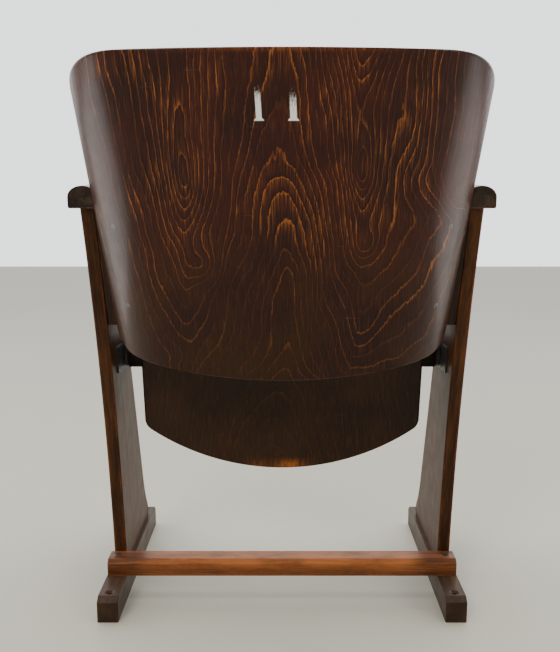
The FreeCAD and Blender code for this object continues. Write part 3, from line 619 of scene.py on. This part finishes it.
def offset(outline, distance):
    """The closed outline moved inward, for one that runs with its inside on the left."""
    moved = []
    count = len(outline)
    for k in range(count):
        a = Vector(outline[k - 1])
        b = Vector(outline[k])
        c = Vector(outline[(k + 1) % count])
        before = (b - a).normalized()
        after = (c - b).normalized()
        side = Vector((-before.y, before.x))
        normal = (side + Vector((-after.y, after.x))).normalized()
        scale = max(LEAST_MITRE, normal.dot(side))
        moved.append(b + normal * (distance / scale))
    return [(p.x, p.y) for p in moved]


def area(outline):
    return sum(a[0] * b[1] - b[0] * a[1] for a, b in zip(outline, outline[1:] + outline[:1])) / 2


def board(name, body, node, material, outline, place, low, high, arris):
    """A flat board from its outline, with rounded arrises on both faces."""
    if area(outline) < 0:
        outline = outline[::-1]
    points = []
    loops = []
    for inset, t in rounded_profile(low, high, arris, BOARD_ARRIS_STEPS, 1):
        loop = []
        for u, v in offset(outline, inset):
            points.append(place(u, v, t))
            loop.append(len(points) - 1)
        loops.append(loop)
    faces = [tuple(loops[0][::-1]), tuple(loops[-1])]
    faces += bridge(loops)
    flatten(new_piece(name, body, node, material, points, faces))


# The backrest

class Backrest:
    """The curled backrest: a column is a share of the way round, and v is the height."""

    wall = SHELL_WALL

    def half(self, z):
        return GIVEN_HALF + (z - GIVEN_Z) * SHELL_TAPER

    def centre_y(self, z):
        return GIVEN_Y + MOVE_Y + (z - GIVEN_Z) * SHELL_SLOPE

    def arc(self, f, z, shrink):
        """Where the large radius meets the small one, and the length along both up to a share f."""
        middle = self.half(z) - SIDE_R * math.sin(SIDE_TURN)
        joint = math.asin(middle / (SHELL_R - SIDE_R))
        whole = SHELL_R * joint + SIDE_R * (SIDE_TURN - joint) - shrink
        return joint, abs(f) * whole

    def at(self, f, z, depth, shrink):
        """The place x and y at the height z, and how far round the sheet it lies."""
        joint, s = self.arc(f, z, shrink)
        centre = self.centre_y(z) - SHELL_R
        if s <= SHELL_R * joint:
            a = s / SHELL_R
            x = (SHELL_R - depth) * math.sin(a)
            y = centre + (SHELL_R - depth) * math.cos(a)
        else:
            a = joint + (s - SHELL_R * joint) / SIDE_R
            x = (SHELL_R - SIDE_R) * math.sin(joint) + (SIDE_R - depth) * math.sin(a)
            y = centre + (SHELL_R - SIDE_R) * math.cos(joint) + (SIDE_R - depth) * math.cos(a)
        return math.copysign(x, f), y, math.copysign(s, f)

    def point(self, f, v, depth, shrink):
        x, y, _ = self.at(f, v, depth, shrink)
        return x, y, v

    def flat(self, f, v, shrink):
        return self.at(f, v, 0.0, shrink)[2], v - SHELL_BOTTOM

    def top(self, x, shrink):
        """The height of the top edge at x, with its round corner."""
        edge = SHELL_TOP - shrink
        head = self.half(SHELL_TOP) + CORNER_OUT - TOP_CORNER[0]
        if x <= head:
            return edge
        side_z = SHELL_TOP - TOP_CORNER[1]
        a = (head, edge)
        b = (self.half(SHELL_TOP) + CORNER_OUT - shrink, edge)
        c = (self.half(side_z) + CORNER_OUT - shrink, side_z)
        if x >= c[0]:
            return min(side_z, edge)
        return curve_height(a, b, c, x)

    def foot(self, x, shrink):
        """The height of the bowed bottom edge at x, with its round corner."""

        def rise(u):
            return SHELL_BOTTOM + shrink + FOOT_R - math.sqrt(FOOT_R**2 - u**2)

        corner = self.half(SHELL_BOTTOM) + CORNER_OUT
        foot = corner - FOOT_CORNER[0]
        if x <= foot:
            return rise(x)
        corner_z = rise(corner)
        side_z = corner_z + FOOT_CORNER[1]
        a = (foot, rise(foot))
        b = (self.half(corner_z) + CORNER_OUT - shrink, corner_z)
        c = (self.half(side_z) + CORNER_OUT - shrink, side_z)
        if x >= c[0]:
            return side_z
        return curve_height(a, b, c, x)

    def limits(self, f, shrink):
        """The heights at which a column starts and ends."""

        def across(z):
            return abs(self.at(f, z, 0.0, shrink)[0])

        foot = crossing(SHELL_BOTTOM, FOOT_HIGHEST, lambda z: z >= self.foot(across(z), shrink))
        top = crossing(TOP_LOWEST, SHELL_TOP, lambda z: z >= self.top(across(z), shrink))
        return foot, top


# The veneer's figure on the flat sheet in mm, as hills with two places, two sizes and a height
LEFT_RIDGE = 126.0
RIGHT_RIDGE = -102.0
BACK_HILLS = (
    (122.0, 283.0, 8.0, 22.0, 1.5), (124.0, 296.0, 15.0, 58.0, 2.6), (100.0, 172.0, 17.0, 20.0, 2.6),
    (-99.0, 296.0, 8.0, 20.0, 1.4), (-100.0, 296.0, 16.0, 42.0, 2.6), (-111.0, 202.0, 11.0, 15.0, 2.2),
    (-97.0, 446.0, 26.0, 40.0, 3.4), (-158.0, 372.0, 14.0, 46.0, 1.4), (150.0, 14.0, 22.0, 14.0, 1.8),
    (66.0, 425.0, 22.0, 40.0, -1.4),
)
BOLD_HILLS = (
    (10.0, 276.0, 36.0, 30.0, 1.1), (-12.0, 225.0, 34.0, 30.0, 1.0), (-46.0, 190.0, 14.0, 40.0, 0.8),
    (128.0, 362.0, 12.0, 30.0, 1.0), (122.0, 284.0, 9.0, 26.0, 0.9), (96.0, 372.0, 12.0, 44.0, 0.9),
    (-88.0, 408.0, 26.0, 30.0, 1.1), (-168.0, 372.0, 16.0, 44.0, 1.0), (-150.0, 284.0, 18.0, 18.0, 0.9),
    (-104.0, 290.0, 16.0, 36.0, 0.6),
)
SEAT_HILLS = ((70.0, 250.0, 22.0, 50.0, 3.0), (-90.0, 330.0, 20.0, 40.0, 3.4))
SEAT_WEAR = ((-12.0, 0.0, 17.0, 1.0, 0.85), (43.0, 0.0, 9.0, 1.0, 0.45))


def hills(s, t, places, start=0.0):
    """The start plus the height of every hill at one place."""
    total = start
    for at_s, at_t, size_s, size_t, height in places:
        u = (s - at_s) / size_s
        v = (t - at_t) / size_t
        total += height * math.exp(-(u * u + v * v) / 2)
    return total


def wander(s, t, size_s, size_t, layer, height):
    """A shift that wanders smoothly over distances of about the two sizes."""
    return noise.noise(Vector((s / size_s, t / size_t, layer))) * height


def soft(value, size):
    """The distance from 0, rounded at 0 itself."""
    return math.sqrt(value * value + size * size) - size


def nearer(a, b, size):
    """The smaller of two values, with a rounded change from one to the other."""
    gap = (a - b) / size
    return (a + b - size * math.sqrt(gap * gap + 1.0)) / 2


def back_rings(s, t, front):
    """Two ridges with eyes on them and arches in the valley between, turned over on the front."""
    if front:
        s = -s * 0.93 + 21.0
        t = 415.0 - t * 0.94
    warp = wander(s, t, 60.0, 90.0, 3.1, 11.0) + wander(s, t, 26.0, 48.0, 7.7, 4.0)
    s2 = s + warp
    t2 = t + wander(s, t, 40.0, 60.0, 9.7, 16.0)
    left = soft(s2 - LEFT_RIDGE + 0.03 * (t - 290.0), 9.0)
    right = soft(s2 - RIGHT_RIDGE - 0.05 * (t - 250.0), 9.0) * (1.45 if s2 > RIGHT_RIDGE else 1.0)
    flat = 34.0 + 24.0 * smooth((t - 250.0) / 60.0)
    rise = smooth((t2 - 10.0) / 150.0)
    slope = 0.058 + 0.038 * rise
    if s2 < RIGHT_RIDGE:
        slope = 0.022 + 0.020 * rise + 0.050 * smooth((t2 - 225.0) / 70.0)
    climb = 13.5 * (1.0 - math.exp(-t2 / 240.0))
    return hills(s, t, BACK_HILLS, climb - slope * nearer(left, right, flat))


def bold_patches(s, t):
    """Where the growth lines on the backrest's rear face are broad and bright."""
    return clamp(hills(s, t, BOLD_HILLS) - 0.25)


def back_worn(s, t, depth):
    """Rubbed along the top edge, most in its middle."""
    return 0.35 * smooth((t - 426.0) / 6.0) * smooth(1.0 - abs(s) / 200.0)


sheet(
    "backrest", "stand", "backrest_shell", "back",
    Backrest(), SHELL_GRID, SHELL_ARRIS, back_rings, back_worn, bold_patches,
)


# The seat pan

def at_rest(x, y, z):
    """Carry a point from the seat's own frame to the tipped up pose."""
    turn = -TIPPED_UP
    c, s = math.cos(turn), math.sin(turn)
    return x, PIVOT[0] + y * c - z * s, PIVOT[1] + y * s + z * c


class Pan:
    """The seat pan in its own frame, carried to its tipped up pose."""

    wall = PAN_WALL

    def half(self, y):
        if y >= FLARE_FROM:
            narrowing = clamp((y - FLARE_FROM) / REAR_RUN)
            return PAN_WAIST_HALF + (PAN_REAR_HALF - PAN_WAIST_HALF) * narrowing
        if y <= FLARE_TO:
            return PAN_FRONT_HALF
        flare = smooth((FLARE_FROM - y) / (FLARE_FROM - FLARE_TO))
        return PAN_WAIST_HALF + (PAN_FRONT_HALF - PAN_WAIST_HALF) * flare

    def rear(self, x, shrink):
        """How far back the bowed rear edge lies at x, with its round corner."""

        def bow(u):
            return REAR_Y - REAR_R + math.sqrt(REAR_R**2 - u**2) - shrink

        side = PAN_REAR_HALF - shrink
        inner = side - REAR_CORNER
        if x <= inner:
            return bow(x)
        corner = bow(side)
        if x >= side:
            return corner - REAR_CORNER
        return curve_height((inner, bow(inner)), (side, corner), (side, corner - REAR_CORNER), x)

    def front(self, x, shrink):
        """How far forward the front edge lies at x, with its round corner."""
        inner = PAN_FRONT_HALF - FRONT_CORNER
        if x <= inner:
            return FRONT_Y + FRONT_BOW * (x / inner) ** 2 + shrink
        side = PAN_FRONT_HALF - shrink
        if x >= side:
            return FRONT_SIDE_Y
        edge = FRONT_Y + FRONT_BOW + shrink
        return curve_height((inner, edge), (side, edge), (side, FRONT_SIDE_Y), x)

    def limits(self, f, shrink):
        """Where a column starts at the rear and ends at the front."""

        def across(y):
            return abs(f) * (self.half(y) - shrink)

        front = crossing(*FRONT_SEARCH, lambda y: y >= self.front(across(y), shrink))
        rear = crossing(*REAR_SEARCH, lambda y: y > self.rear(across(y), shrink))
        return rear, front

    def point(self, f, v, depth, shrink):
        """A point of the pan, which is flat up to the rolled lip at its front."""
        x = f * (self.half(v) - shrink)
        if v >= LIP_Y:
            return at_rest(x, v, PAN_TOP - depth)
        angle = min(math.asin(clamp((LIP_Y - v) / LIP_R)), LIP_TURN)
        radius = LIP_R - depth
        y = LIP_Y - radius * math.sin(angle)
        z = PAN_TOP - LIP_R + radius * math.cos(angle)
        straight = (LIP_Y - v) - LIP_R * math.sin(angle)
        if straight > 0:
            y -= straight
            z -= straight * math.tan(LIP_TURN)
        return at_rest(x, y, z)

    def flat(self, f, v, shrink):
        return f * (self.half(v) - shrink), REAR_Y - v


def seat_rings(s, t, front):
    """Growth rings over the pan, long and nearly straight."""
    shift = 260.0 if front else 0.0
    warp = noise.noise(Vector((s / 80.0, t / 120.0 + shift, 5.3))) * 20.0
    start = 0.10 * (math.sqrt((s + warp - 14.0) ** 2 + 60.0**2) - 60.0) + t / 46.0
    return hills(s, t, SEAT_HILLS, start)


def seat_worn(s, t, depth):
    """Rubbed patches near the middle of the seat's rear edge."""
    if depth > 5.0:
        return 0.0
    return clamp(smooth(1.0 - (t - 3.0) / 19.0) * hills(s, 0.0, SEAT_WEAR))


sheet(
    "pan", "seat", "seat_pan", "seat",
    Pan(), PAN_GRID, PAN_ARRIS, seat_rings, seat_worn,
)


# The side panels

def arm_underside(y):
    return ARM_REAR_Z + (ARM_REAR_Y - y) * math.tan(ARM_SLOPE)


def arc_points(a, middle, b, count):
    """Points along the circle through three points, without its last one."""
    ax, ay = a
    bx, by = middle
    cx, cy = b
    d = 2 * (ax * (by - cy) + bx * (cy - ay) + cx * (ay - by))
    ux = ((ax**2 + ay**2) * (by - cy) + (bx**2 + by**2) * (cy - ay) + (cx**2 + cy**2) * (ay - by)) / d
    uy = ((ax**2 + ay**2) * (cx - bx) + (bx**2 + by**2) * (ax - cx) + (cx**2 + cy**2) * (bx - ax)) / d
    radius = math.hypot(ax - ux, ay - uy)
    start = math.atan2(ay - uy, ax - ux)
    end = math.atan2(cy - uy, cx - ux)
    turn = (end - start + math.pi) % (2 * math.pi) - math.pi
    return [
        (ux + radius * math.cos(start + turn * k / count), uy + radius * math.sin(start + turn * k / count))
        for k in range(count)
    ]


def tangent_middle(start, tangent, end):
    """A point half way along the arc that leaves start along the tangent and ends at end."""
    start, tangent, end = Vector(start), Vector(tangent).normalized(), Vector(end)
    chord = end - start
    along = chord.normalized()
    side = tangent - along * tangent.dot(along)
    turn = math.asin(min(1.0, side.length))
    middle = (start + end) / 2 + side.normalized() * (chord.length / 2 * math.tan(turn / 2))
    return middle.x, middle.y


def panel_outline():
    """The hourglass outline as y and z, with both ends sunk into the runner and the armrest."""
    knee = (WAIST[0] - (WAIST[1] - KNEE_Z) * math.tan(PANEL_LEAN), KNEE_Z)
    toe = (TOE_Y, RUNNER_TOP + TOE_RISE)
    heel = (HEEL_Y, STRETCHER_TOP)
    head_front = (HEAD_FRONT_Y, arm_underside(HEAD_FRONT_Y))
    head_rear = (HEAD_REAR_Y, arm_underside(HEAD_REAR_Y))
    up = (math.sin(PANEL_LEAN), math.cos(PANEL_LEAN))
    chord = Vector(head_rear) - Vector(heel)
    forward = Vector((-chord.y, chord.x)).normalized()
    rear_middle = (Vector(heel) + Vector(head_rear)) / 2 + forward * PANEL_BOW
    outline = [(HEEL_Y, RUNNER_TOP - PANEL_SUNK), (TOE_Y, RUNNER_TOP - PANEL_SUNK)]
    outline += arc_points(toe, tangent_middle(knee, (-up[0], -up[1]), toe), knee, 14)
    outline += [knee]
    outline += arc_points(WAIST, tangent_middle(WAIST, up, head_front), head_front, 26)
    outline += [head_front, (HEAD_FRONT_Y - 0.5, head_front[1] + PANEL_SUNK)]
    outline += [(HEAD_REAR_Y + 1.0, head_rear[1] + PANEL_SUNK)]
    outline += arc_points(head_rear, (rear_middle.x, rear_middle.y), heel, 34)
    outline += [heel]
    return [(y + MOVE_Y, z) for y, z in outline]


for side_name, side in SIDES.items():
    board(
        "panel_" + side_name, "stand", "side_panel_" + side_name, "panel", panel_outline(),
        lambda u, v, t, side=side: (side * t, u, v), PANEL_IN, PANEL_OUT, PANEL_ARRIS,
    )


# The armrests

def arm_section():
    """The armrest's cross section, flat below with small corners and crowned above."""
    low = ARM_CORNER
    inner = ARM_HALF - ARM_CORNER
    section = [(ARM_HALF, ARM_SIDE)]
    section += [quadratic((ARM_HALF, low), (ARM_HALF, 0.0), (inner, 0.0), k / 4) for k in range(5)]
    section += [quadratic((-inner, 0.0), (-ARM_HALF, 0.0), (-ARM_HALF, low), k / 4) for k in range(5)]
    section.append((-ARM_HALF, ARM_SIDE))
    for k in range(1, ARM_STEPS):
        a = math.pi - math.pi * k / ARM_STEPS
        section.append((ARM_HALF * math.cos(a), ARM_SIDE + ARM_CROWN * math.sin(a)))
    return section


def arm_stations():
    """Where the section stands along the armrest, and how wide and how tall it is there."""
    stations = []
    for k in range(HOLLOW_STEPS + 1):
        inward = 1 - math.sin(math.radians(90.0 / HOLLOW_STEPS * k))
        width = 1.0 - inward * ARM_HOLLOW / ARM_HALF
        stations.append((ARM_HOLLOW * inward, width, width))
    for k in range(1, ARM_STEPS):
        stations.append((ARM_HOLLOW + ARM_STRAIGHT * k / ARM_STEPS, 1.0, 1.0))
    for k in range(NOSE_STEPS + 1):
        a = math.radians(90.0 / NOSE_STEPS * k)
        width = 1.0 - NOSE_CLOSING * (1 - math.cos(a))
        run = ARM_LENGTH - ARM_NOSE + ARM_NOSE * math.sin(a)
        stations.append((run, width, 1.0 - NOSE_DROP * (1 - width)))
    return stations


def armrest(name, node, side):
    """One armrest, with a shallow hollow in its rear end and a nose that closes at the front."""
    section = arm_section()
    c, s = math.cos(-ARM_SLOPE), math.sin(-ARM_SLOPE)
    points = []
    loops = []
    for run, width, tall in arm_stations():
        loop = []
        for u, v in section:
            z = max(ARM_MIDDLE + (v - ARM_MIDDLE) * tall, ARM_LOWEST)
            x = side * (PANEL_MID + ARM_OUT) + u * width
            points.append((x, -run * c - z * s + ARM_REAR_Y + MOVE_Y, -run * s + z * c + ARM_REAR_Z))
            loop.append(len(points) - 1)
        loops.append(loop)
    faces = [tuple(loops[0]), tuple(loops[-1][::-1])]
    count = len(section)
    for a, b in zip(loops, loops[1:]):
        for k in range(count):
            n = (k + 1) % count
            faces.append((a[k], b[k], b[n], a[n]))
    flatten(new_piece(name, "stand", node, "arm", points, faces))


for side_name, side in SIDES.items():
    armrest("arm_" + side_name, "armrest_" + side_name, side)


# Materials of the carried nodes, with a longer name before the shorter one that it starts with
CARRIED = {
    "foot_runner": "runner", "back_block": "block", "rear_stretcher": "stretcher", "seat_rail": "rail",
    "pivot_plate_screws": "dark_steel", "pivot_plate": "iron", "pivot_journal": "iron", "pivot_bush": "brass",
    "stop_pads": "rubber", "thrust_washers": "bright_steel", "foot_dowels": "dowel",
    "armrest_dowels": "dowel", "foot_screws": "bright_steel", "block_screws": "dark_steel",
    "backrest_screws": "iron", "stretcher_screws": "dark_steel", "journal_screws": "dark_steel",
    "seat_bolt_washers": "bright_steel", "seat_bolt_nuts": "bright_steel", "seat_bolts": "dark_steel",
}
for node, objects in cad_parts.items():
    key = next((k for k in CARRIED if node.startswith(k)), None)
    if key is None:
        continue
    for obj in objects if isinstance(objects, (list, tuple)) else [objects]:
        obj.data.materials.clear()
        obj.data.materials.append(MATERIALS[CARRIED[key]])


# The floor

FLOOR_HALF = 6.0
FLOOR_CORNERS = ((-1, -1), (1, -1), (1, 1), (-1, 1))

floor_mesh = bpy.data.meshes.new("floor")
floor_mesh.from_pydata([(x * FLOOR_HALF, y * FLOOR_HALF, 0.0) for x, y in FLOOR_CORNERS], [], [(0, 1, 2, 3)])
floor = bpy.data.objects.new("floor", floor_mesh)
bpy.context.scene.collection.objects.link(floor)
floor_tree = Tree("floor_paint")
floor_tree.put(floor_tree.shader.inputs["Base Color"], (0.37, 0.345, 0.275, 1.0))
floor_tree.shader.inputs["Roughness"].default_value = 0.55
floor_mesh.materials.append(floor_tree.material)


# The room's light: a bright wall in front of the seat and a dim room behind the camera

BRIGHT_WALL = 2.1
DIM_ROOM = 0.22

world = bpy.data.worlds.new("room")
world.use_nodes = True
sky_nodes = world.node_tree.nodes
sky_links = world.node_tree.links
sky_place = sky_nodes.new("ShaderNodeTexCoord")
sky_split = sky_nodes.new("ShaderNodeSeparateXYZ")
sky_range = sky_nodes.new("ShaderNodeMapRange")
sky_range.interpolation_type = "SMOOTHSTEP"
sky_links.new(sky_place.outputs["Generated"], sky_split.inputs[0])
sky_links.new(sky_split.outputs["Y"], sky_range.inputs["Value"])
sky_range.inputs["From Min"].default_value = -0.45
sky_range.inputs["From Max"].default_value = 0.75
sky_range.inputs["To Min"].default_value = BRIGHT_WALL
sky_range.inputs["To Max"].default_value = DIM_ROOM
sky_nodes["Background"].inputs["Color"].default_value = (0.95, 0.97, 1.0, 1.0)
sky_links.new(sky_range.outputs[0], sky_nodes["Background"].inputs["Strength"])
bpy.context.scene.world = world


def lamp(name, place, target, size, power, colour=(1.0, 1.0, 1.0), spread=180.0):
    """A flat lamp at a place in metres, turned to its target, with its power in watts."""
    data = bpy.data.lights.new(name, "AREA")
    data.shape = "RECTANGLE"
    data.size, data.size_y = size
    data.energy = power
    data.color = colour
    data.spread = math.radians(spread)
    obj = bpy.data.objects.new(name, data)
    obj.location = place
    obj.rotation_euler = (Vector(target) - Vector(place)).to_track_quat("-Z", "Y").to_euler()
    obj.visible_camera = False
    bpy.context.scene.collection.objects.link(obj)


lamp("window", (1.3, 2.6, 2.4), (0.0, 0.1, 0.45), (1.2, 1.0), 75.0, (1.0, 0.98, 0.95))
lamp("fill", (-2.0, 2.0, 1.3), (0.0, 0.0, 0.4), (1.0, 1.0), 30.0)
lamp("ceiling", (0.0, -0.2, 2.9), (0.0, 0.0, 0.3), (2.4, 1.6), 35.0)
for side_name, side in SIDES.items():
    lamp(side_name + "_wall", (2.8 * side, -0.7, 1.5), (0.0, 0.0, 0.6), (2.2, 1.8), 42.0)
for side_name, power in (("left", 1.1), ("right", 0.8)):
    side = SIDES[side_name]
    lamp(
        "low_" + side_name, (1.15 * side, 0.10, 0.30), (0.25 * side, 0.12, 0.62), (0.8, 0.55), power,
        (1.0, 0.97, 0.94), 70.0,
    )


# The camera, fitted to the photo's outlines. Values in pixels are the photo's own

PHOTO_HEIGHT_PX = 652.0
FOCAL_PX = 800.0
LOOKS_DOWN_PX = 133.0
SHIFT_PX = -2.0
CAMERA_PLACE = (0.0, 1.241455, 0.657)

camera_data = bpy.data.cameras.new("camera")
camera_data.lens = 44.17
camera_data.sensor_width = 36.0
camera_data.shift_x = SHIFT_PX / PHOTO_HEIGHT_PX
camera = bpy.data.objects.new("camera", camera_data)
camera.location = CAMERA_PLACE
looks_down = math.atan(LOOKS_DOWN_PX / FOCAL_PX)
camera.rotation_euler = (math.radians(90.0) - looks_down, 0.0, math.radians(180.0))
bpy.context.scene.collection.objects.link(camera)
bpy.context.scene.camera = camera
